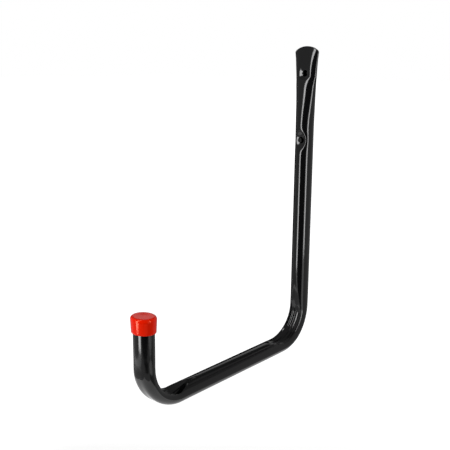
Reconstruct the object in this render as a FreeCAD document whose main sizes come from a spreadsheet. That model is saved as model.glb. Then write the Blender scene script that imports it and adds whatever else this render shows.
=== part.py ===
import FreeCAD, Part
import Sketcher
import os

# Garage utility hook: one steel tube, pressed flat at its screwed end and press-bent twice into a
# deep J, with a push-on cap over its front end. The wall is behind the leg, the arm runs forward
# along -Y and +Z is up. The origin is on the leg's centreline, midway between the screw holes.

doc = FreeCAD.newDocument("garage_utility_hook")

# Driving dimensions in millimetres, each with a note for the person who changes it

SIZES = [
    ("tube_diameter", 20.0, "outside diameter of the round tube"),
    ("tube_wall", 1.2, "thickness of the tube's wall"),
    ("leg_height", 336.0, "flattened tip above the arm's centreline"),
    ("arm_length", 246.0, "leg's centreline to the front upright's centreline"),
    ("front_height", 88.5, "front end of the tube above the arm's centreline"),
    ("back_bend_radius", 41.6, "centreline radius of the bend below the leg"),
    ("front_bend_radius", 40.4, "centreline radius of the bend below the cap"),
    ("oval_height", 15.7, "height of the tube along the bends and the arm, where it is oval"),
    ("oval_width", 23.4, "width of the tube there"),
    ("oval_run", 30.0, "length over which the round tube turns oval"),
    ("back_trough_depth", 5.7, "how far the bending disc sank into the back bend"),
    ("front_trough_depth", 6.6, "how far the bending disc sank into the front bend"),
    ("disc_rim_radius", 16.0, "cross radius of the bending disc's rim"),
    ("disc_width", 26.0, "width of the bending disc"),
    ("saddle_depth", 3.2, "how far the outside of the front bend was pressed in"),
    ("saddle_radius", 20.0, "cross radius of that hollow"),
    ("saddle_run_radius", 80.0, "radius of the hollow's floor along the bend"),
    ("taper_length", 79.0, "tip to where the flattened wedge meets the round tube"),
    ("tip_thickness", 2.6, "thickness of the flat tip, where the walls meet, before it is trimmed"),
    ("tip_width", 30.6, "width of the flat tip there"),
    ("mid_drop", 42.0, "tip to the wedge's middle section, where the bore ends blunt"),
    ("mid_thickness", 12.7, "thickness of the wedge there"),
    ("mid_width", 24.2, "width of the wedge there"),
    ("tip_arch_radius", 24.0, "radius of the tip's arched outline"),
    ("tip_spare", 2.0, "length trimmed off above the arch"),
    ("slot_width", 13.0, "width of the bore where the bends are crushed"),
    ("slot_height", 3.3, "height of the bore there, outwards from the centreline"),
    ("slot_run", 26.0, "length of the crushed stretch beyond each end of a bend"),
    ("upper_hole_drop", 29.0, "upper screw hole below the tip"),
    ("hole_spacing", 73.0, "distance between the screw holes"),
    ("hole_diameter", 8.0, "screw holes, through both walls"),
    ("upper_punch_radius", 34.0, "blunt nose of the punch that dented the front wall at the upper hole"),
    ("upper_dent_floor", 4.3, "floor of that dent in front of the centreline"),
    ("lower_punch_radius", 12.0, "round nose of the punch that dented the front wall at the lower hole"),
    ("lower_dent_floor", 5.6, "floor of that dent in front of the centreline"),
    ("cap_wall", 2.0, "how far the end cap stands out from the tube's side at its crown"),
    ("cap_mouth_wall", 1.4, "how far it stands out at its mouth"),
    ("cap_height", 16.0, "end cap, crown to mouth"),
    ("cap_crown", 2.5, "thickness of the cap above the tube's end"),
    ("cap_rounding", 2.4, "width of the two bevels that round the crown's edge"),
    ("cap_lip_bevel", 0.4, "bevel of the mouth's edge"),
    ("cap_clearance", 0.05, "gap between the cap and the side of the tube"),
]

sheet = doc.addObject("Spreadsheet::Sheet", "sizes")
for row, (alias, value, note) in enumerate(SIZES, start=1):
    sheet.set(f"A{row}", alias)
    sheet.set(f"B{row}", str(value))
    sheet.set(f"C{row}", note)
    sheet.setAlias(f"B{row}", alias)
doc.recompute()

# Places that several features share, as expressions on the sheet

UPPER_HOLE_Z = "(sizes.hole_spacing / 2)"
LOWER_HOLE_Z = "(-sizes.hole_spacing / 2)"
TIP = f"({UPPER_HOLE_Z} + sizes.upper_hole_drop)"
ARM = f"({TIP} - sizes.leg_height)"
TAPER_END = f"({TIP} - sizes.taper_length)"
BACK_Y = "(-sizes.back_bend_radius)"
BACK_Z = f"({ARM} + sizes.back_bend_radius)"
FRONT_Y = "(sizes.front_bend_radius - sizes.arm_length)"
FRONT_Z = f"({ARM} + sizes.front_bend_radius)"
UPRIGHT_Y = "(-sizes.arm_length)"
TUBE_END = f"({ARM} + sizes.front_height)"
HALF_OVAL = "sizes.oval_height / 2"
FLAT_SIDED = "0.01"
NEAR_ELLIPSE = "0.42"
BACK_FLOOR = f"(sizes.back_bend_radius - {HALF_OVAL} + sizes.back_trough_depth)"
FRONT_FLOOR = f"(sizes.front_bend_radius - {HALF_OVAL} + sizes.front_trough_depth)"

X_AXIS = FreeCAD.Vector(1, 0, 0)
Y_AXIS = FreeCAD.Vector(0, 1, 0)
Z_AXIS = FreeCAD.Vector(0, 0, 1)
UNTURNED = FreeCAD.Rotation()
FACING_Y = FreeCAD.Rotation(X_AXIS, 90)


def add(kind, name, rotation=UNTURNED, y="0", z="0", **sizes):
    """Adds an object on the hook's middle plane with its place and sizes bound to the sheet."""
    item = doc.addObject(kind, name)
    item.Placement.Rotation = rotation
    item.setExpression("Placement.Base.y", y)
    item.setExpression("Placement.Base.z", z)
    for prop, text in sizes.items():
        item.setExpression(prop, text)
    return item


def hold(profile, text, kind, *places):
    """Gives a sketch a dimension that follows an expression on the sheet."""
    index = profile.addConstraint(Sketcher.Constraint(kind, *places, profile.evalExpression(text)))
    profile.setExpression(f"Constraints[{index}]", text)


def oval(name, width, thickness, inset, slope, y, z, rotation=UNTURNED):
    """Section across the tube, drawn in by the inset: two long arcs joined by two short ones.

    The slope sets where they join. With any slope, the section is a circle where the width equals the
    thickness.
    """
    wide = f"({width} / 2 - {inset})"
    high = f"({thickness} / 2 - {inset})"
    short = f"(({high} - {slope} * {wide}) / (1 - {slope}))"
    long = f"({short} + ({wide} - {short}) * (1 + {slope} ^ 2) / (2 * {slope}))"
    corner_x = f"({wide} - {short} + {short} * 2 * {slope} / (1 + {slope} ^ 2))"
    corner_y = f"({short} * (1 - {slope} ^ 2) / (1 + {slope} ^ 2))"

    profile = add("Sketcher::SketchObject", name, rotation, y, z)
    w, h, cx, cy = (profile.evalExpression(text) for text in (wide, high, corner_x, corner_y))
    corners = [FreeCAD.Vector(i * cx, j * cy, 0) for i, j in ((1, -1), (1, 1), (-1, 1), (-1, -1))]
    crests = [FreeCAD.Vector(i * w, j * h, 0) for i, j in ((1, 0), (0, 1), (-1, 0), (0, -1))]
    for side in range(4):
        profile.addGeometry(Part.Arc(corners[side], crests[side], corners[(side + 1) % 4]))
    for side in range(4):
        profile.addConstraint(Sketcher.Constraint("Coincident", side, 2, (side + 1) % 4, 1))
    profile.addConstraint(
        [
            Sketcher.Constraint("Symmetric", 0, 2, 0, 1, -1),
            Sketcher.Constraint("Symmetric", 1, 1, 1, 2, -2),
            Sketcher.Constraint("Symmetric", 2, 1, 2, 2, -1),
            Sketcher.Constraint("Equal", 0, 2),
            Sketcher.Constraint("Equal", 1, 3),
        ]
    )
    hold(profile, corner_x, "DistanceX", -1, 1, 0, 2)
    hold(profile, corner_y, "DistanceY", -1, 1, 0, 2)
    hold(profile, short, "Radius", 0)
    hold(profile, long, "Radius", 1)
    return profile


def loft(name, sections):
    """Solid with straight flanks through the sections."""
    item = doc.addObject("Part::Loft", name)
    item.Sections = sections
    item.Solid = True
    item.Ruled = True
    return item


def turned(name, section, angle, y, z):
    """The section turned about an axis across the hook, from the leg towards the upright."""
    item = doc.addObject("Part::Revolution", name)
    item.Source = section
    item.Axis = -X_AXIS
    item.Angle = angle
    item.Solid = True
    item.setExpression("Base.y", y)
    item.setExpression("Base.z", z)
    return item


def extruded(name, section, direction, length):
    """The section drawn straight along a direction."""
    item = doc.addObject("Part::Extrusion", name)
    item.Base = section
    item.Dir = direction
    item.Solid = True
    item.setExpression("LengthFwd", length)
    return item


def cut(name, base, tools):
    """The base less one tool or several."""
    item = doc.addObject("Part::Cut", name)
    item.Base = base
    item.Tool = tools[0]
    if len(tools) > 1:
        item.Tool = doc.addObject("Part::Compound", f"{name}_tools")
        item.Tool.Links = tools
    return item


# The press tools: a bending disc inside each bend, a rounded saddle under the front bend and a
# round-nosed punch at each screw hole


def bending_disc(name, floor_radius, y, z):
    """Disc across the hook with a rounded rim, which sank in as far as the floor radius."""
    profile = add("Sketcher::SketchObject", f"{name}_profile", y=y, z=z)
    rim_centre = f"({floor_radius} - sizes.disc_rim_radius)"
    rim_height = f"({rim_centre} + sqrt(sizes.disc_rim_radius ^ 2 - sizes.disc_width ^ 2 / 4))"
    half, crest, edge = (
        profile.evalExpression(text) for text in ("sizes.disc_width / 2", floor_radius, rim_height)
    )
    left, right = FreeCAD.Vector(-half, 0, 0), FreeCAD.Vector(half, 0, 0)
    left_rim, right_rim = FreeCAD.Vector(-half, edge, 0), FreeCAD.Vector(half, edge, 0)
    profile.addGeometry(Part.LineSegment(left, right))
    profile.addGeometry(Part.LineSegment(right, right_rim))
    profile.addGeometry(Part.Arc(right_rim, FreeCAD.Vector(0, crest, 0), left_rim))
    profile.addGeometry(Part.LineSegment(left_rim, left))
    profile.addConstraint(
        [
            Sketcher.Constraint("Coincident", 0, 2, 1, 1),
            Sketcher.Constraint("Coincident", 1, 2, 2, 1),
            Sketcher.Constraint("Coincident", 2, 2, 3, 1),
            Sketcher.Constraint("Coincident", 3, 2, 0, 1),
            Sketcher.Constraint("PointOnObject", 0, 1, -1),
            Sketcher.Constraint("Horizontal", 0),
            Sketcher.Constraint("Vertical", 1),
            Sketcher.Constraint("Vertical", 3),
            Sketcher.Constraint("PointOnObject", 2, 3, -2),
        ]
    )
    hold(profile, "sizes.disc_width", "DistanceX", 0, 1, 0, 2)
    hold(profile, "sizes.disc_rim_radius", "Radius", 2)
    hold(profile, rim_centre, "DistanceY", -1, 1, 2, 3)
    return turned(name, profile, 360, y, z)


def bending_saddle(name):
    """Sector of a ring whose floor runs flatter than the bend, so it leaves the tube at both ends."""
    lift = f"(sizes.front_bend_radius + {HALF_OVAL} - sizes.saddle_depth - sizes.saddle_run_radius)"
    ring_to_across = FreeCAD.Rotation(FreeCAD.Vector(1, 1, 1), 120)
    saddle = add(
        "Part::Torus",
        name,
        FreeCAD.Rotation(X_AXIS, 185) * ring_to_across,
        f"{FRONT_Y} - {lift} * sqrt(0.5)",
        f"{FRONT_Z} - {lift} * sqrt(0.5)",
        Radius1="sizes.saddle_run_radius + sizes.saddle_radius",
        Radius2="sizes.saddle_radius",
    )
    saddle.Angle3 = 80
    return saddle


def punch(name, nose, floor, z, growth="0"):
    """Round-nosed punch, stopped with its nose at the dent's floor, and grown by a wall's thickness."""
    return add("Part::Sphere", name, y=f"-{floor} - {nose}", z=z, Radius=f"{nose} + {growth}")


back_disc = bending_disc("back_disc", BACK_FLOOR, BACK_Y, BACK_Z)
front_disc = bending_disc("front_disc", FRONT_FLOOR, FRONT_Y, FRONT_Z)
saddle = bending_saddle("saddle")

# The skin of the tube, from the flattened tip to the front end, as the press left it

TUBE = "sizes.tube_diameter"
TIP_SKIN = ("sizes.tip_width", "sizes.tip_thickness", "0")
MID_SKIN = ("sizes.mid_width", "sizes.mid_thickness", "0")
ROUND_SKIN = (TUBE, TUBE, "0")
OVAL_SKIN = ("sizes.oval_width", "sizes.oval_height", "0")
OVAL_BORE = ("sizes.oval_width", "sizes.oval_height", "sizes.tube_wall")
ANKLE_Z = f"({BACK_Z} + sizes.oval_run)"
NECK_Z = f"({FRONT_Z} + sizes.oval_run)"
MID_Z = f"({TIP} - sizes.mid_drop)"
LOWER_PUNCH = ("sizes.lower_punch_radius", "sizes.lower_dent_floor", LOWER_HOLE_Z)


def crushed_bend(name, section, disc, y, z):
    """The oval section, hollowed by the bending disc, turned through a right angle."""
    face = doc.addObject("Part::Face", f"{name}_face")
    face.Sources = [section]
    face.FaceMakerClass = "Part::FaceMakerSimple"
    return turned(name, cut(f"{name}_section", face, [disc]), 90, y, z)


wedge = loft(
    "wedge",
    [
        oval("tip_section", *TIP_SKIN, FLAT_SIDED, "0", f"{TIP} + sizes.tip_spare"),
        oval("middle_section", *MID_SKIN, FLAT_SIDED, "0", MID_Z),
        oval("shoulder_section", *ROUND_SKIN, FLAT_SIDED, "0", TAPER_END),
    ],
)
leg = add("Part::Cylinder", "leg", z=ANKLE_Z, Radius=f"{TUBE} / 2", Height=f"{TAPER_END} - {ANKLE_Z}")

ankle = oval("ankle_section", *ROUND_SKIN, NEAR_ELLIPSE, "0", ANKLE_Z)
heel = oval("heel_section", *OVAL_SKIN, NEAR_ELLIPSE, "0", BACK_Z)
back_foot = cut("back_foot", loft("back_foot_loft", [ankle, heel]), [back_disc])
back_bend = crushed_bend("back_bend", heel, back_disc, BACK_Y, BACK_Z)

arm_start = oval("arm_start_section", *OVAL_SKIN, NEAR_ELLIPSE, BACK_Y, ARM, FACING_Y)
arm_bar = extruded("arm_bar", arm_start, -Y_AXIS, f"{BACK_Y} - {FRONT_Y}")
arm = cut("arm", arm_bar, [back_disc, front_disc])

arm_end = oval("arm_end_section", *OVAL_SKIN, NEAR_ELLIPSE, FRONT_Y, ARM, FACING_Y)
front_turn = crushed_bend("front_turn", arm_end, front_disc, FRONT_Y, FRONT_Z)
front_bend = cut("front_bend", front_turn, [saddle])
toe = oval("toe_section", *OVAL_SKIN, NEAR_ELLIPSE, UPRIGHT_Y, FRONT_Z)
neck = oval("neck_section", *ROUND_SKIN, NEAR_ELLIPSE, UPRIGHT_Y, NECK_Z)
front_foot = cut("front_foot", loft("front_foot_loft", [toe, neck]), [front_disc])
upright = add(
    "Part::Cylinder",
    "upright",
    y=UPRIGHT_Y,
    z=NECK_Z,
    Radius=f"{TUBE} / 2",
    Height=f"{TUBE_END} - {NECK_Z}",
)

blank = doc.addObject("Part::MultiFuse", "blank")
blank.Shapes = [wedge, leg, back_foot, back_bend, arm, front_bend, front_foot, upright]
skin = cut(
    "skin",
    blank,
    [
        punch("upper_punch", "sizes.upper_punch_radius", "sizes.upper_dent_floor", UPPER_HOLE_Z),
        punch("lower_punch", *LOWER_PUNCH),
    ],
)

# The bore: it closes in the wedge below the upper hole and is a slot where the bends are crushed

BORE_RADIUS = f"({TUBE} / 2 - sizes.tube_wall)"


def slot(name, y, z, rotation=UNTURNED):
    """Section of the slot, centred on the middle plane."""
    item = add("Part::Plane", name, rotation, y, z, Length="sizes.slot_width", Width="sizes.slot_height")
    item.setExpression("Placement.Base.x", "-sizes.slot_width / 2")
    return item


point = add(
    "Part::Cone",
    "bore_point",
    z=TAPER_END,
    Radius1=BORE_RADIUS,
    Radius2="sizes.mid_thickness / 2 - sizes.tube_wall",
    Height=f"{MID_Z} - {TAPER_END}",
)
leg_bore = add(
    "Part::Cylinder", "leg_bore", z=ANKLE_Z, Radius=BORE_RADIUS, Height=f"{TAPER_END} - {ANKLE_Z}"
)
dented_bore = cut(
    "dented_bore",
    leg_bore,
    [punch("lower_punch_inside", *LOWER_PUNCH, growth="sizes.tube_wall")],
)
arm_bore_start = oval(
    "arm_bore_section", *OVAL_BORE, NEAR_ELLIPSE, f"{BACK_Y} - sizes.slot_run", ARM, FACING_Y
)
arm_bore = extruded(
    "arm_bore", arm_bore_start, -Y_AXIS, f"{BACK_Y} - {FRONT_Y} - 2 * sizes.slot_run"
)
upright_bore = add(
    "Part::Cylinder",
    "upright_bore",
    y=UPRIGHT_Y,
    z=NECK_Z,
    Radius=BORE_RADIUS,
    Height=f"{TUBE_END} - {NECK_Z} + sizes.tube_wall",
)
heel_slot = slot("heel_slot", "0", BACK_Z)
arm_start_slot = slot("arm_start_slot", BACK_Y, f"{ARM} - sizes.slot_height", FACING_Y)
arm_end_slot = slot("arm_end_slot", FRONT_Y, f"{ARM} - sizes.slot_height", FACING_Y)
toe_slot = slot("toe_slot", f"{UPRIGHT_Y} - sizes.slot_height", FRONT_Z)
bore = doc.addObject("Part::MultiFuse", "bore")
bore.Shapes = [
    point,
    dented_bore,
    extruded("back_foot_slot", heel_slot, Z_AXIS, "sizes.oval_run + sizes.tube_wall"),
    turned("back_bend_slot", heel_slot, 90, BACK_Y, BACK_Z),
    extruded("arm_back_slot", arm_start_slot, -Y_AXIS, "sizes.slot_run + sizes.tube_wall"),
    arm_bore,
    extruded("arm_front_slot", arm_end_slot, Y_AXIS, "sizes.slot_run + sizes.tube_wall"),
    turned("front_bend_slot", arm_end_slot, 90, FRONT_Y, FRONT_Z),
    extruded("front_foot_slot", toe_slot, Z_AXIS, "sizes.oval_run + sizes.tube_wall"),
    upright_bore,
]

# The screw holes, and the tip's trimming outside its arch

upper_hole = add(
    "Part::Cylinder",
    "upper_hole",
    FACING_Y,
    "sizes.tube_diameter",
    UPPER_HOLE_Z,
    Radius="sizes.hole_diameter / 2",
    Height="2 * sizes.tube_diameter",
)
lower_hole = add(
    "Part::Cylinder",
    "lower_hole",
    FACING_Y,
    "sizes.tube_diameter",
    LOWER_HOLE_Z,
    Radius="sizes.hole_diameter / 2",
    Height="2 * sizes.tube_diameter",
)
tip_block = add(
    "Part::Box",
    "tip_block",
    y="-sizes.tube_diameter",
    z=f"{TIP} - sizes.tip_arch_radius",
    Length="2 * sizes.tip_width",
    Width="2 * sizes.tube_diameter",
    Height="sizes.tip_arch_radius + 2 * sizes.tip_spare",
)
tip_block.setExpression("Placement.Base.x", "-sizes.tip_width")
tip_arch = add(
    "Part::Cylinder",
    "tip_arch",
    FACING_Y,
    "sizes.tube_diameter",
    f"{TIP} - sizes.tip_arch_radius",
    Radius="sizes.tip_arch_radius",
    Height="2 * sizes.tube_diameter",
)
tip_trim = cut("tip_trim", tip_block, [tip_arch])

# The finished tube

hollow = cut("tube_hollow", skin, [bore])
hook_tube = cut("hook_tube", hollow, [upper_hole, lower_hole, tip_trim])
hook_tube.Label = "hook_tube"

# The end cap: a moulded cup, seated on the tube's front end, a little wider at its crown

end_cap = doc.addObject("PartDesign::Body", "end_cap")
end_cap.Label = "end_cap"
end_cap.setExpression("Placement.Base.y", UPRIGHT_Y)
end_cap.setExpression("Placement.Base.z", TUBE_END)
cup = end_cap.newObject("Sketcher::SketchObject", "cup_profile")
plane = next(feature for feature in end_cap.Origin.OriginFeatures if feature.Role == "XZ_Plane")
cup.AttachmentSupport = [(plane, "")]
cup.MapMode = "FlatFace"
BORE_SIDE = f"({TUBE} / 2 + sizes.cap_clearance)"
MOUTH_SIDE = f"({TUBE} / 2 + sizes.cap_mouth_wall)"
CROWN_SIDE = f"({TUBE} / 2 + sizes.cap_wall)"
MOUTH_LEVEL = "(sizes.cap_crown - sizes.cap_height)"
BEVEL_LEVEL = "(sizes.cap_crown - sizes.cap_rounding)"
BEVEL_STEP = "(sizes.cap_rounding * (1 - sqrt(0.5)))"
CUP_CORNERS = [
    ("0", "0"),
    (BORE_SIDE, "0"),
    (BORE_SIDE, MOUTH_LEVEL),
    (MOUTH_SIDE, MOUTH_LEVEL),
    (CROWN_SIDE, BEVEL_LEVEL),
    (f"{CROWN_SIDE} - {BEVEL_STEP}", f"sizes.cap_crown - {BEVEL_STEP}"),
    (f"{CROWN_SIDE} - sizes.cap_rounding", "sizes.cap_crown"),
    ("0", "sizes.cap_crown"),
]
corners = [
    FreeCAD.Vector(cup.evalExpression(out), cup.evalExpression(up), 0) for out, up in CUP_CORNERS
]
for place, corner in enumerate(corners):
    cup.addGeometry(Part.LineSegment(corner, corners[(place + 1) % len(corners)]))
for place in range(len(corners)):
    cup.addConstraint(Sketcher.Constraint("Coincident", place, 2, (place + 1) % len(corners), 1))
cup.addConstraint(
    [
        Sketcher.Constraint("Coincident", 0, 1, -1, 1),
        Sketcher.Constraint("Horizontal", 0),
        Sketcher.Constraint("Vertical", 1),
        Sketcher.Constraint("Horizontal", 2),
        Sketcher.Constraint("Horizontal", 6),
        Sketcher.Constraint("Vertical", 7),
    ]
)
hold(cup, BORE_SIDE, "DistanceX", 0, 1, 1, 1)
hold(cup, MOUTH_SIDE, "DistanceX", 0, 1, 3, 1)
hold(cup, CROWN_SIDE, "DistanceX", 0, 1, 4, 1)
hold(cup, BEVEL_STEP, "DistanceX", 5, 1, 4, 1)
hold(cup, "sizes.cap_rounding", "DistanceX", 6, 1, 4, 1)
hold(cup, "sizes.cap_crown", "DistanceY", 0, 1, 6, 1)
hold(cup, BEVEL_STEP, "DistanceY", 5, 1, 6, 1)
hold(cup, "sizes.cap_rounding", "DistanceY", 4, 1, 6, 1)
hold(cup, "sizes.cap_height", "DistanceY", 2, 1, 6, 1)
cup_wall = end_cap.newObject("PartDesign::Revolution", "cup_wall")
cup_wall.Profile = cup
cup_wall.ReferenceAxis = (cup, ["V_Axis"])
cup_wall.Angle = 360
doc.recompute()

mouth_radius = sheet.tube_diameter / 2 + sheet.cap_mouth_wall
mouth_level = sheet.cap_crown - sheet.cap_height
mouth_edge = end_cap.newObject("PartDesign::Chamfer", "lip_bevel")
mouth_edge.Base = (
    cup_wall,
    [
        f"Edge{place}"
        for place, edge in enumerate(cup_wall.Shape.Edges, start=1)
        if hasattr(edge.Curve, "Radius")
        and abs(edge.Curve.Radius - mouth_radius) < 0.01
        and abs(edge.BoundBox.ZMin - mouth_level) < 0.01
    ],
)
mouth_edge.setExpression("Size", "sizes.cap_lip_bevel")
end_cap.Tip = mouth_edge
doc.recompute()

# Checks, then one file for each piece

for item in doc.Objects:
    if "Invalid" in item.State or "Error" in item.State:
        raise RuntimeError(f"{item.Name} did not build: {item.State}")

os.makedirs("parts", exist_ok=True)
for piece in (hook_tube, end_cap):
    if piece.Shape.isNull() or not piece.Shape.isValid() or len(piece.Shape.Solids) != 1:
        raise RuntimeError(f"{piece.Label} is not one sound solid")
    piece.Shape.exportStep(f"parts/{piece.Label}.step")
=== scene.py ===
import math

import bpy
import numpy as np
from mathutils import Matrix, Vector


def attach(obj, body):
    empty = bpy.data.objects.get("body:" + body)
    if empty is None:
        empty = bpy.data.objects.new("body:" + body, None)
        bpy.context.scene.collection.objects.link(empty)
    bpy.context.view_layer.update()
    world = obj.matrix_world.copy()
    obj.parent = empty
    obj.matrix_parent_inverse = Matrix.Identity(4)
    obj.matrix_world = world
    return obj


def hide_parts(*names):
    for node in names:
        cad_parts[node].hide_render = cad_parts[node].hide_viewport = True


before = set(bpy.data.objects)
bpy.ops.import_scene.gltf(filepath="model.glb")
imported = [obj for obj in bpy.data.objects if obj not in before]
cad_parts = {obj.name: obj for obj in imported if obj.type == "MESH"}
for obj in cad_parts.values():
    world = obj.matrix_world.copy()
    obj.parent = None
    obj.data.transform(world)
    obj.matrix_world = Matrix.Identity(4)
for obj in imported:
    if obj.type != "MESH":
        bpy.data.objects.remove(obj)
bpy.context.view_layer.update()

# The bent tube: one length of round steel tube, pressed to a wedge at the screwed end and bent twice
# round a disc that sank into the inside of each bend. Two screw holes are punched through the leg,
# each in a round dent. It is coated gloss black all over.

MM = 0.001
TUBE = 10.25
TIP_Z = 65.5
LEG, ARM, UPRIGHT = 336.0, 246.0, 88.5
BACK_TURN, FRONT_TURN = 40.5, 39.6
STRAIGHTS_AND_TURNS = (
    LEG - BACK_TURN,
    BACK_TURN * math.pi / 2,
    ARM - BACK_TURN - FRONT_TURN,
    FRONT_TURN * math.pi / 2,
    UPRIGHT - FRONT_TURN,
)
LEG_END, BACK_END, ARM_END, FRONT_END, TUBE_END = np.cumsum(STRAIGHTS_AND_TURNS)


def ease(x):
    """0 below 0, 1 above 1 and the smooth cubic 3x^2 - 2x^3 between."""
    x = np.clip(x, 0.0, 1.0)
    return x * x * (3 - 2 * x)


def lesser(a, b, blend):
    """The smaller of two heights, with the edge where they cross rounded over the blend."""
    return 0.5 * (a + b - np.sqrt((a - b) ** 2 + blend ** 2))


def centreline(s):
    """Place y, z and normal towards the inside of the J, at a run s from the tip.

    Straight down the leg, a quarter circle forward, straight along the arm, a quarter circle up, and
    straight up to the tube's end.
    """
    in_back = np.clip(s - LEG_END, 0, BACK_END - LEG_END) / BACK_TURN
    in_front = np.clip(s - ARM_END, 0, FRONT_END - ARM_END) / FRONT_TURN
    down = np.minimum(s, LEG_END) + BACK_TURN * np.sin(in_back)
    along = np.clip(s - BACK_END, 0, ARM_END - BACK_END)
    rise = FRONT_TURN * (1 - np.cos(in_front)) + np.maximum(s - FRONT_END, 0)
    y = -BACK_TURN * (1 - np.cos(in_back)) - along - FRONT_TURN * np.sin(in_front)
    z = TIP_Z - down + rise
    turn = in_back + in_front
    return y, z, -np.cos(turn), np.sin(turn)


def within(s, start, end, tail):
    """1 between two runs, easing to 0 over the tail on either side of each."""
    return ease((s - start + tail) / (2 * tail)) * ease((end + tail - s) / (2 * tail))


TIP_HALF, TONGUE_TIP = 1.7, 1.5
SWELL_RUN, WEDGE_RUN = 28.0, 88.0
TONGUE_SWELL, TONGUE_CLIMB, CLIMB_START, CLIMB_RUN = 2.5, 16.0, 31.0, 24.0
FRONT_SWELL, FRONT_STEP, STEP_START, STEP_RUN = 3.0, 2.6, 29.0, 16.0
ROUNDING_START, ROUNDING_RUN = 40.0, 52.0
SPLAY, SPLAY_RUN = 5.5, 90.0
END_OVAL, UPRIGHT_OVAL, ARM_OVAL, ARM_OVAL_LOSS = 0.06, 0.08, 0.085, 0.028
OVAL_TAIL, END_TAIL, BEND_TAIL = 25.0, 14.0, 14.0
BACK_SPREAD, FRONT_SPREAD = 0.040, 0.064
BACK_DRAW, FRONT_DRAW = 0.164, 0.030


def section(s):
    """Half width, half thickness inside and outside, and level of the flat tongue, at a run s.

    From the tip the front swells by a parabola, rises by a step below the upper hole and eases to the
    round tube; the tongue lies a little lower and climbs out of the tube at the step. The back grows as
    a sine, and the width falls off as a power of the run. Along the bends and the arm the tube is
    pressed to an oval that keeps the girth, and it stays a little oval up to its end. In the bends it
    spreads a little more and its outside is drawn in.
    """
    swell = 1 - (1 - np.clip(s / SWELL_RUN, 0, 1)) ** 2
    tongue = TONGUE_TIP + TONGUE_SWELL * swell + TONGUE_CLIMB * ease((s - CLIMB_START) / CLIMB_RUN)
    stepped = TIP_HALF + FRONT_SWELL * swell + FRONT_STEP * ease((s - STEP_START) / STEP_RUN)
    left_to_grow = TUBE - TIP_HALF - FRONT_SWELL - FRONT_STEP
    front_half = stepped + left_to_grow * ease((s - ROUNDING_START) / ROUNDING_RUN)
    wedge = np.sin(math.pi / 2 * np.clip(s / WEDGE_RUN, 0, 1)) ** 1.1
    back_half = TIP_HALF + (TUBE - TIP_HALF) * wedge
    along = np.clip((s - BACK_END) / (ARM_END - BACK_END), 0, 1)
    entering = ease((s - LEG_END) / (BACK_END - LEG_END + OVAL_TAIL))
    leaving = ease((FRONT_END - s) / (FRONT_END - ARM_END + OVAL_TAIL))
    ending = END_OVAL + UPRIGHT_OVAL * ease((TUBE_END - s) / END_TAIL)
    oval = entering * (ending + leaving * (ARM_OVAL - ARM_OVAL_LOSS * along))
    thin = 1 - oval
    spread = 1 + oval * (math.pi / 2 - 1 + (2 - math.pi / 2) * thin)
    back = within(s, LEG_END, BACK_END, BEND_TAIL)
    front = within(s, ARM_END, FRONT_END, BEND_TAIL)
    splay = SPLAY * np.clip(1 - s / SPLAY_RUN, 0, 1) ** 1.5
    wide = TUBE * spread * (1 + BACK_SPREAD * back + FRONT_SPREAD * front) + splay
    outside = back_half * thin * (1 - BACK_DRAW * back - FRONT_DRAW * front)
    return wide, front_half * thin, outside, tongue


SIDE_SHARE = 0.3


def pressed(n_in, floor, share, blend):
    """The inside of the section pressed down to a floor, fading out at the tube's sides."""
    return n_in + ease(share / SIDE_SHARE) * (lesser(n_in, floor, blend) - n_in)


# Each trough: the runs between which it is deepest, the length of its pointed end before them, the
# disc's radius beyond them, its depth, and the radius of its hollow across.
BACK_TROUGH = (LEG_END + 11, BACK_END, 47.0, BACK_TURN - TUBE, 6.2, 16.2)
FRONT_TROUGH = (ARM_END + 4, FRONT_END, 32.0, FRONT_TURN - TUBE, 7.2, 17.3)
TROUGH_LIFT = 0.15
CREASE, CREASE_PITCH, CREASE_DRIFT = 0.24, 4.4, 0.03
UPPER_HOLE, LOWER_HOLE = 29.0, 102.0
FLARE, FLARE_SLOPE, FLARE_ASIDE, FLARE_SOFT = 9.2, 0.26, -2.0, 1.5
DENT_FLOOR, PUNCH = 6.0, 11.5
TONGUE_EDGE, TROUGH_EDGE, DENT_EDGE = 0.18, 0.5, 2.4
SADDLE, SADDLE_WIDE, SADDLE_INSET, SADDLE_TAIL = 1.8, 6.0, 6.0, 26.0


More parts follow.
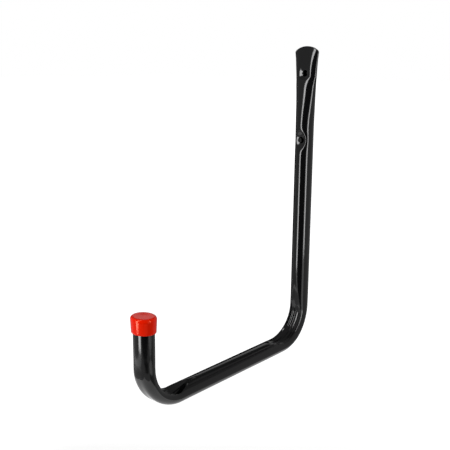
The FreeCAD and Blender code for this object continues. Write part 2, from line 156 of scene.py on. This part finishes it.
def skin(s, x, side):
    """Points of the skin at runs s and distances x from the middle plane, on the inside or outside.

    The section is an ellipse, cut level at the tongue. On the inside it is pressed down to the print of
    each bending disc, a parabola across and along, which runs out to a point before the bend, with fine
    creases, a sine across, and to the round print of the punch at the lower hole. The upper hole has a
    flare, a shallow cone with a soft edge. On the outside of the front bend the tube is pressed in by a
    shallow bell across.
    """
    wide, inside, outside, tongue = section(s)
    share = np.sqrt(np.clip(1 - (x / wide) ** 2, 0, 1))
    n_in = pressed(inside * share, tongue, share, TONGUE_EDGE)
    for start, end, run_in, run_out, depth, rim in (BACK_TROUGH, FRONT_TROUGH):
        before = np.maximum(start - s, 0)
        run_up = depth * (1 - np.maximum(1 - before / run_in, 0) ** 2)
        run_up = run_up + TROUGH_LIFT * np.maximum(before - run_in, 0)
        rise = run_up + np.maximum(s - end, 0) ** 2 / (2 * run_out)
        crease_turn = 2 * math.pi * (x + CREASE_DRIFT * (s - start)) / CREASE_PITCH
        floor = inside - depth + rise + x ** 2 / (2 * rim)
        floor = floor + CREASE * np.sin(crease_turn) / (1 + rise)
        n_in = pressed(n_in, floor, share, TROUGH_EDGE)
    floor = DENT_FLOOR + (x ** 2 + (s - LOWER_HOLE) ** 2) / (2 * PUNCH)
    n_in = pressed(n_in, floor, share, DENT_EDGE)
    sunk = np.maximum(FLARE - np.hypot(x - FLARE_ASIDE, s - UPPER_HOLE), 0)
    n_in = n_in - FLARE_SLOPE * sunk ** 2 / (sunk + FLARE_SOFT)
    front = within(s, ARM_END + SADDLE_INSET, FRONT_END - SADDLE_INSET, SADDLE_TAIL)
    saddle = SADDLE * front * np.exp(-((x / SADDLE_WIDE) ** 2))
    n_out = outside * share - saddle * ease(share / SIDE_SHARE)
    n = np.where(side > 0, n_in, -n_out)
    y, z, normal_y, normal_z = centreline(s)
    return np.stack([x, y + n * normal_y, z + n * normal_z], -1) * MM


ROUND = 128
QUARTER, HALF = ROUND // 4, ROUND // 2
TIP_ARCH, TIP_ARCH_RUN = 24.0, 22.0
CUT_EDGE, EDGE_ROWS = 0.35, 5
FINE, COARSE = 1.0, 4.0
MOUNT_RUN, TROUGH_RUN = 132.0, 45.0
edge_lean = np.linspace(0, math.pi / 2, EDGE_ROWS)
runs = np.concatenate([
    CUT_EDGE * (1 - np.cos(edge_lean)),
    np.arange(FINE, MOUNT_RUN, FINE),
    np.arange(MOUNT_RUN, LEG_END - TROUGH_RUN, COARSE),
    np.arange(LEG_END - TROUGH_RUN, BACK_END + TROUGH_RUN, FINE),
    np.arange(BACK_END + TROUGH_RUN, ARM_END - TROUGH_RUN, COARSE),
    np.arange(ARM_END - TROUGH_RUN, TUBE_END - FINE / 2, FINE),
    [TUBE_END],
])
angles = np.arange(ROUND) * 2 * math.pi / ROUND
run_grid, angle_grid = np.meshgrid(runs, angles, indexing="ij")
x_grid = section(run_grid)[0] * np.sin(angle_grid)
side_grid = np.where(np.cos(angle_grid) > 0, 1.0, -1.0)
arch = TIP_ARCH - np.sqrt(TIP_ARCH ** 2 - x_grid ** 2)
run_grid = run_grid + arch * (1 - ease(run_grid / TIP_ARCH_RUN))
grid = skin(run_grid, x_grid, side_grid)
drawn_in = CUT_EDGE * (1 - np.sin(edge_lean))[:, None]
tip_rows = slice(0, EDGE_ROWS)
grid[tip_rows, :, 0] -= drawn_in * np.sin(angle_grid[tip_rows]) * MM
grid[tip_rows, :, 1] += drawn_in * np.cos(angle_grid[tip_rows]) * MM

number = np.arange(run_grid.size).reshape(run_grid.shape)
points = [grid.reshape(-1, 3)]
quads = []


def new_row(row):
    """Adds a row of points and gives their numbers."""
    start = sum(len(block) for block in points)
    points.append(row)
    return np.arange(start, start + len(row))


def band(earlier, later):
    """Quads between two closed rows of point numbers, the later row further along or further in."""
    return np.stack([earlier, later, np.roll(later, -1), np.roll(earlier, -1)], -1)


FRONT_HOLE, BACK_HOLE = 3.5, 2.4
HOLE_EDGE = 0.3
WALL = 1.3
CHAMBER = 6.4
WINDOW_RUN, WINDOW_WIDE, WINDOW_RINGS = 10.0, 8.2, 10
solid_cells = np.ones((len(runs) - 1, ROUND), bool)


def wall_hole(run, middle):
    """Opens a screw hole in one wall, and gives the row of points at its inner end, in the hollow tube,
    and where on that row the window's second side starts.

    Rings run from the edge of a window in the grid to the round rim, blended evenly, and on round the
    rim's edge, through the wall and out along its inner face.
    """
    side, hole = (1.0, FRONT_HOLE) if middle == 0 else (-1.0, BACK_HOLE)
    first, last = np.searchsorted(runs, [run - WINDOW_RUN, run + WINDOW_RUN])
    reach = int(np.searchsorted(x_grid[(first + last) // 2, :QUARTER], WINDOW_WIDE))
    columns = np.arange(middle - reach, middle + reach + 1) % ROUND
    solid_cells[first:last, columns[:-1]] = False
    window = np.concatenate([
        number[first, columns[:-1]],
        number[first:last, columns[-1]],
        number[last, columns[:0:-1]],
        number[last:first:-1, columns[0]],
    ])
    window_s = run_grid.reshape(-1)[window] - run
    window_x = x_grid.reshape(-1)[window]
    spoke = np.arctan2(window_x, window_s)
    across, along = np.sin(spoke), np.cos(spoke)

    def ring(radius, depth):
        """A round row of points at a depth below the skin."""
        row = skin(run + radius * along, radius * across, side)
        row[:, 1] += side * depth * MM
        return row

    rows = [window]
    for share in np.linspace(1, 0, WINDOW_RINGS + 1)[1:]:
        s = run + window_s * share + (hole + HOLE_EDGE) * along * (1 - share)
        x = window_x * share + (hole + HOLE_EDGE) * across * (1 - share)
        rows.append(new_row(skin(s, x, side)))
    for lean in edge_lean[1:]:
        radius = hole + HOLE_EDGE * (1 - math.sin(lean))
        rows.append(new_row(ring(radius, HOLE_EDGE * (1 - math.cos(lean)))))
    rows.append(new_row(ring(hole, WALL)))
    rows.append(new_row(ring(CHAMBER, WALL)))
    quads.extend(band(outer, inner) for outer, inner in zip(rows[:-1], rows[1:]))
    return rows[-1], 2 * reach


for hole_run in (UPPER_HOLE, LOWER_HOLE):
    front_row, turn_place = wall_hole(hole_run, 0)
    back_row, _ = wall_hole(hole_run, HALF)
    facing = (turn_place - np.arange(len(back_row))) % len(back_row)
    quads.append(band(front_row, back_row[facing]))

cells = np.stack([
    number[:-1],
    number[1:],
    np.roll(number[1:], -1, axis=1),
    np.roll(number[:-1], -1, axis=1),
], -1)
quads.append(cells[solid_cells])

inner_half = np.arange(-QUARTER, QUARTER + 1) % ROUND
outer_half = (HALF - np.arange(-QUARTER, QUARTER + 1)) % ROUND
tip_in, tip_out = number[0, inner_half], number[0, outer_half]
quads.append(np.stack([tip_in[:-1], tip_in[1:], tip_out[1:], tip_out[:-1]], -1))
end_in, end_out = number[-1, inner_half], number[-1, outer_half]
quads.append(np.stack([end_out[:-1], end_out[1:], end_in[1:], end_in[:-1]], -1))


def mesh_piece(name, points, quads):
    """A smooth-shaded mesh object at the origin; quads with two equal corners become triangles."""
    mesh = bpy.data.meshes.new(name)
    mesh.vertices.add(len(points))
    mesh.vertices.foreach_set("co", np.ascontiguousarray(points, dtype=np.float32).reshape(-1))
    following = np.roll(quads, -1, axis=1)
    kept = quads != following
    sizes = kept.sum(axis=1)
    mesh.loops.add(int(sizes.sum()))
    mesh.loops.foreach_set("vertex_index", quads[kept].astype(np.int32))
    mesh.polygons.add(len(quads))
    mesh.polygons.foreach_set("loop_start", (np.cumsum(sizes) - sizes).astype(np.int32))
    mesh.polygons.foreach_set("use_smooth", np.ones(len(quads), dtype=bool))
    mesh.update(calc_edges=True)
    mesh.validate()
    mesh.set_sharp_from_angle(angle=math.radians(50))
    piece = bpy.data.objects.new(name, mesh)
    bpy.context.scene.collection.objects.link(piece)
    return piece


tube = mesh_piece("bent_tube", np.concatenate(points), np.concatenate(quads))


def finish_nodes(name):
    """A material with its nodes, links, shader and the Object coordinate that its patterns read."""
    material = bpy.data.materials.new(name)
    material.use_nodes = True
    nodes, links = material.node_tree.nodes, material.node_tree.links
    shader = nodes["Principled BSDF"]
    place = nodes.new("ShaderNodeTexCoord").outputs["Object"]
    return material, nodes, links, shader, place


def noise(nodes, links, place, scale, detail):
    """A noise pattern with so many cycles to the metre."""
    node = nodes.new("ShaderNodeTexNoise")
    node.inputs["Scale"].default_value = scale
    node.inputs["Detail"].default_value = detail
    links.new(place, node.inputs["Vector"])
    return node.outputs["Fac"]


def ranged(nodes, links, value, low, high):
    """A pattern from 0 to 1, carried to the range from low to high."""
    node = nodes.new("ShaderNodeMapRange")
    node.inputs["To Min"].default_value = low
    node.inputs["To Max"].default_value = high
    links.new(value, node.inputs["Value"])
    return node.outputs["Result"]


def bump(nodes, links, height, depth, strength, under=None):
    """Surface relief of that depth in metres, laid over another relief."""
    node = nodes.new("ShaderNodeBump")
    node.inputs["Distance"].default_value = depth
    node.inputs["Strength"].default_value = strength
    links.new(height, node.inputs["Height"])
    if under is not None:
        links.new(under, node.inputs["Normal"])
    return node.outputs["Normal"]


coating, nodes, links, shader, place = finish_nodes("gloss_black_coating")
shader.inputs["Base Color"].default_value = (0.0035, 0.0035, 0.0038, 1)
shader.inputs["IOR"].default_value = 1.52
smear = ranged(nodes, links, noise(nodes, links, place, 55, 3), 0.07, 0.13)
links.new(smear, shader.inputs["Roughness"])
flow = bump(nodes, links, noise(nodes, links, place, 120, 1), 0.00006, 0.55)
peel = bump(nodes, links, noise(nodes, links, place, 520, 2), 0.00001, 0.5, flow)
links.new(peel, shader.inputs["Normal"])
tube.data.materials.append(coating)
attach(tube, "root")
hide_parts("hook_tube")

# The end cap: a moulded cup of glossy red plastic, pushed over the cut front end of the tube. Its
# side tapers a little to the mouth, and its flat top meets the side in a full rounding. The oval tube
# has drawn it a little oval too.

CAP_TOP = TIP_Z - LEG + 91.6
CAP_HEIGHT = 15.6
CROWN, MOUTH, MOUTH_BORE = 12.3, 11.7, 10.3
CAP_WIDE, BORE_WIDE, CAP_DEEP = 1.07, 1.13, 0.94
CROWN_ROUND, LIP_ROUND = 2.6, 0.45
TOP_DISH = 0.15
BORE_DEPTH = 12.6


def cap_profile():
    """Radius and height down the cap's side: a faintly sunk top, a quarter circle, a straight taper, a
    small quarter circle at the lip, the mouth's flat edge, and the bore up to its flat roof."""
    crown = np.linspace(0, math.pi / 2, 14)
    lip = np.linspace(0, math.pi / 2, 6)
    flat = np.linspace(0, CROWN - CROWN_ROUND, 18)[:-1]
    foot = CAP_TOP - CAP_HEIGHT
    taper_top, taper_foot = CAP_TOP - CROWN_ROUND, foot + LIP_ROUND
    taper = np.linspace(0, 1, 16)[1:-1]
    radius = np.concatenate([
        flat,
        CROWN - CROWN_ROUND + CROWN_ROUND * np.sin(crown),
        CROWN + (MOUTH - CROWN) * taper,
        MOUTH - LIP_ROUND + LIP_ROUND * np.cos(lip),
        [MOUTH_BORE, MOUTH_BORE, 0.0],
    ])
    height = np.concatenate([
        CAP_TOP - TOP_DISH * (1 - ease(flat / (CROWN - CROWN_ROUND))),
        CAP_TOP - CROWN_ROUND + CROWN_ROUND * np.cos(crown),
        taper_top + (taper_foot - taper_top) * taper,
        taper_foot - LIP_ROUND * np.sin(lip),
        [foot, foot + BORE_DEPTH, foot + BORE_DEPTH],
    ])
    return radius, height


cap_radius, cap_height = cap_profile()
CAP_ROUND = 144
cap_turn = np.arange(CAP_ROUND) * 2 * math.pi / CAP_ROUND
cap_width = cap_radius * np.where(cap_radius == MOUTH_BORE, BORE_WIDE, CAP_WIDE)
cap_points = np.stack([
    cap_width[:, None] * np.cos(cap_turn),
    -ARM + CAP_DEEP * cap_radius[:, None] * np.sin(cap_turn),
    np.repeat(cap_height[:, None], CAP_ROUND, axis=1),
], -1) * MM
cap_number = np.arange(cap_points[..., 0].size).reshape(cap_points.shape[:2])
cap_number[0] = cap_number[0, 0]
cap_number[-1] = cap_number[-1, 0]
cap_quads = np.concatenate([
    band(upper, lower) for upper, lower in zip(cap_number[:-1], cap_number[1:])
])
used, cap_quads = np.unique(cap_quads, return_inverse=True)
cap = mesh_piece("end_cap_red", cap_points.reshape(-1, 3)[used], cap_quads.reshape(-1, 4))

red, nodes, links, shader, place = finish_nodes("red_moulded_plastic")
shader.inputs["Base Color"].default_value = (0.72, 0.011, 0.0005, 1)
shader.inputs["IOR"].default_value = 1.5
shader.inputs["Specular Tint"].default_value = (1.0, 0.30, 0.15, 1)
gloss = ranged(nodes, links, noise(nodes, links, place, 160, 2), 0.05, 0.11)
links.new(gloss, shader.inputs["Roughness"])
grain = bump(nodes, links, noise(nodes, links, place, 900, 3), 0.00003, 0.5)
waves = bump(nodes, links, noise(nodes, links, place, 130, 1), 0.00008, 0.4, grain)
links.new(waves, shader.inputs["Normal"])
cap.data.materials.append(red)
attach(cap, "root")
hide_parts("end_cap")

# The stage: a plain pale floor well below the hook, white all round and two tall soft lights. Dark and
# grey cards stand in a ring round the hook, with one above it; the gloss coating shows them as bands.

scene = bpy.context.scene
scene.view_settings.view_transform = "Standard"


def sheet_piece(name, corners):
    """A flat stage sheet through four corners."""
    mesh = bpy.data.meshes.new(name)
    mesh.from_pydata([tuple(corner) for corner in corners], [], [(0, 1, 2, 3)])
    item = bpy.data.objects.new(name, mesh)
    scene.collection.objects.link(item)
    return item


def level_sheet(name, reach, z):
    """A level square stage sheet, with its middle on the hook's axis."""
    return sheet_piece(name, [
        (-reach, -reach, z),
        (reach, -reach, z),
        (reach, reach, z),
        (-reach, reach, z),
    ])


def plain_paint(name, shade):
    """A dull even finish that can glow white, with its nodes, links and shader sockets."""
    paint = bpy.data.materials.new(name)
    paint.use_nodes = True
    nodes, links = paint.node_tree.nodes, paint.node_tree.links
    sockets = nodes["Principled BSDF"].inputs
    sockets["Base Color"].default_value = (shade, shade, shade, 1)
    sockets["Roughness"].default_value = 1.0
    sockets["Specular IOR Level"].default_value = 0.0
    sockets["Emission Color"].default_value = (1, 1, 1, 1)
    return paint, nodes, links, sockets


floor = level_sheet("floor", 60.0, -1.30)
pale, nodes, links, sockets = plain_paint("pale_floor", 0.8)


def seen_rays(nodes, links):
    """1 for rays from the camera, or mirrored or passed on by a surface, and 0 for the rest."""
    rays = nodes.new("ShaderNodeLightPath")
    first = nodes.new("ShaderNodeMath")
    first.operation = "MAXIMUM"
    links.new(rays.outputs["Is Camera Ray"], first.inputs[0])
    links.new(rays.outputs["Is Glossy Ray"], first.inputs[1])
    second = nodes.new("ShaderNodeMath")
    second.operation = "MAXIMUM"
    links.new(first.outputs[0], second.inputs[0])
    links.new(rays.outputs["Is Transmission Ray"], second.inputs[1])
    return second.outputs[0]


floor_glow = ranged(nodes, links, seen_rays(nodes, links), 0.0, 0.82)
links.new(floor_glow, sockets["Emission Strength"])
floor.data.materials.append(pale)

world = bpy.data.worlds.new("white_studio")
world.use_nodes = True
scene.world = world
nodes, links = world.node_tree.nodes, world.node_tree.links
nodes["Background"].inputs["Color"].default_value = (1, 1, 1, 1)
white_level = ranged(nodes, links, seen_rays(nodes, links), 0.55, 1.0)
links.new(white_level, nodes["Background"].inputs["Strength"])


LIGHT_AWAY, LIGHT_HEIGHT, LIGHT_RADIANCE = 0.60, 1.0, 8.5


def soft_light(name, azimuth, width, level):
    """An upright lamp facing the hook, from a bearing in degrees round from the front to the right."""
    data = bpy.data.lights.new(name, "AREA")
    data.shape = "RECTANGLE"
    data.size, data.size_y = width, LIGHT_HEIGHT
    data.energy = LIGHT_RADIANCE * math.pi * width * LIGHT_HEIGHT
    lamp = bpy.data.objects.new(name, data)
    bearing = math.radians(azimuth)
    lamp.location = (LIGHT_AWAY * math.sin(bearing), -LIGHT_AWAY * math.cos(bearing), level)
    aim = Vector((-math.sin(bearing), math.cos(bearing), 0))
    lamp.rotation_euler = aim.to_track_quat("-Z", "Y").to_euler()
    lamp.visible_camera = False
    scene.collection.objects.link(lamp)


soft_light("left_light", -13, 0.12, 0.138)
soft_light("right_light", 73, 0.11, 0.175)


def even_card(item, radiance):
    """Makes a sheet an evenly bright card that mirrors nothing, out of the camera's sight."""
    paint, _, _, sockets = plain_paint(item.name, 0.0)
    sockets["Emission Strength"].default_value = radiance
    item.data.materials.append(paint)
    item.visible_camera = False
    return item


CARD_AWAY = 1.7


def card(name, start, end, low, high, radiance):
    """An upright card between two bearings round the hook, in degrees, and two levels."""
    (near_x, far_x), (near_y, far_y) = CARD_AWAY * np.array([
        np.sin(np.radians((start, end))),
        -np.cos(np.radians((start, end))),
    ])
    return even_card(sheet_piece(name, [
        (near_x, near_y, low),
        (far_x, far_y, low),
        (far_x, far_y, high),
        (near_x, near_y, high),
    ]), radiance)


FOOT, KNEE, FRONT_KNEE, HEAD, CREST, TOP = -1.25, -0.85, -0.78, 0.12, 0.55, 1.30
cards = [
    card("dark_card", -6, 60, FRONT_KNEE, TOP, 0.0),
    card("left_grey_card", -84, -24, KNEE, TOP, 0.30),
    card("left_dark_card", -116, -86, FOOT, TOP, 0.0),
    card("far_left_dark_card", -160, -116, FOOT, HEAD, 0.02),
    card("far_left_grey_card", -160, -116, HEAD, CREST, 0.50),
    card("far_left_top_card", -160, -116, CREST, TOP, 0.05),
    card("right_grey_card", 84, 120, KNEE, TOP, 0.38),
    card("side_grey_card", 120, 165, KNEE, TOP, 0.36),
    card("back_grey_card", 165, 200, FOOT, TOP, 0.36),
    card("low_left_card", -84, -6, FOOT, KNEE, 0.36),
    card("low_front_card", -6, 60, FOOT, FRONT_KNEE, 0.42),
    card("low_right_card", 60, 120, FOOT, KNEE, 0.15),
    card("low_side_card", 120, 165, FOOT, KNEE, 0.35),
]
ceiling = even_card(level_sheet("ceiling_card", 1.8, 1.31), 0.18)

# The camera: in front of the hook, to its right and a little above, at the photograph's view

BEARING, TILT, ROLL = math.radians(41.29), math.radians(12.90), math.radians(0.42)
LENS, SENSOR, IMAGE = 56.0, 36.0, 450
AWAY = 0.83972
CORNER = Vector((0, 0, (TIP_Z - LEG) * MM))
CORNER_RIGHT, CORNER_DOWN = 73.0, 110.13
ahead = Vector((
    -math.sin(BEARING) * math.cos(TILT),
    math.cos(BEARING) * math.cos(TILT),
    -math.sin(TILT),
))
level_right = Vector((math.cos(BEARING), math.sin(BEARING), 0))
level_up = level_right.cross(ahead)
right = math.cos(ROLL) * level_right + math.sin(ROLL) * level_up
up = -math.sin(ROLL) * level_right + math.cos(ROLL) * level_up
pixel = AWAY / (LENS / SENSOR * IMAGE)
camera_data = bpy.data.cameras.new("camera")
camera_data.lens, camera_data.sensor_width, camera_data.sensor_fit = LENS, SENSOR, "HORIZONTAL"
camera = bpy.data.objects.new("camera", camera_data)
stand = CORNER - ahead * AWAY - right * CORNER_RIGHT * pixel + up * CORNER_DOWN * pixel
camera.matrix_world = Matrix.Translation(stand) @ Matrix((right, up, -ahead)).transposed().to_4x4()
scene.collection.objects.link(camera)
scene.camera = camera
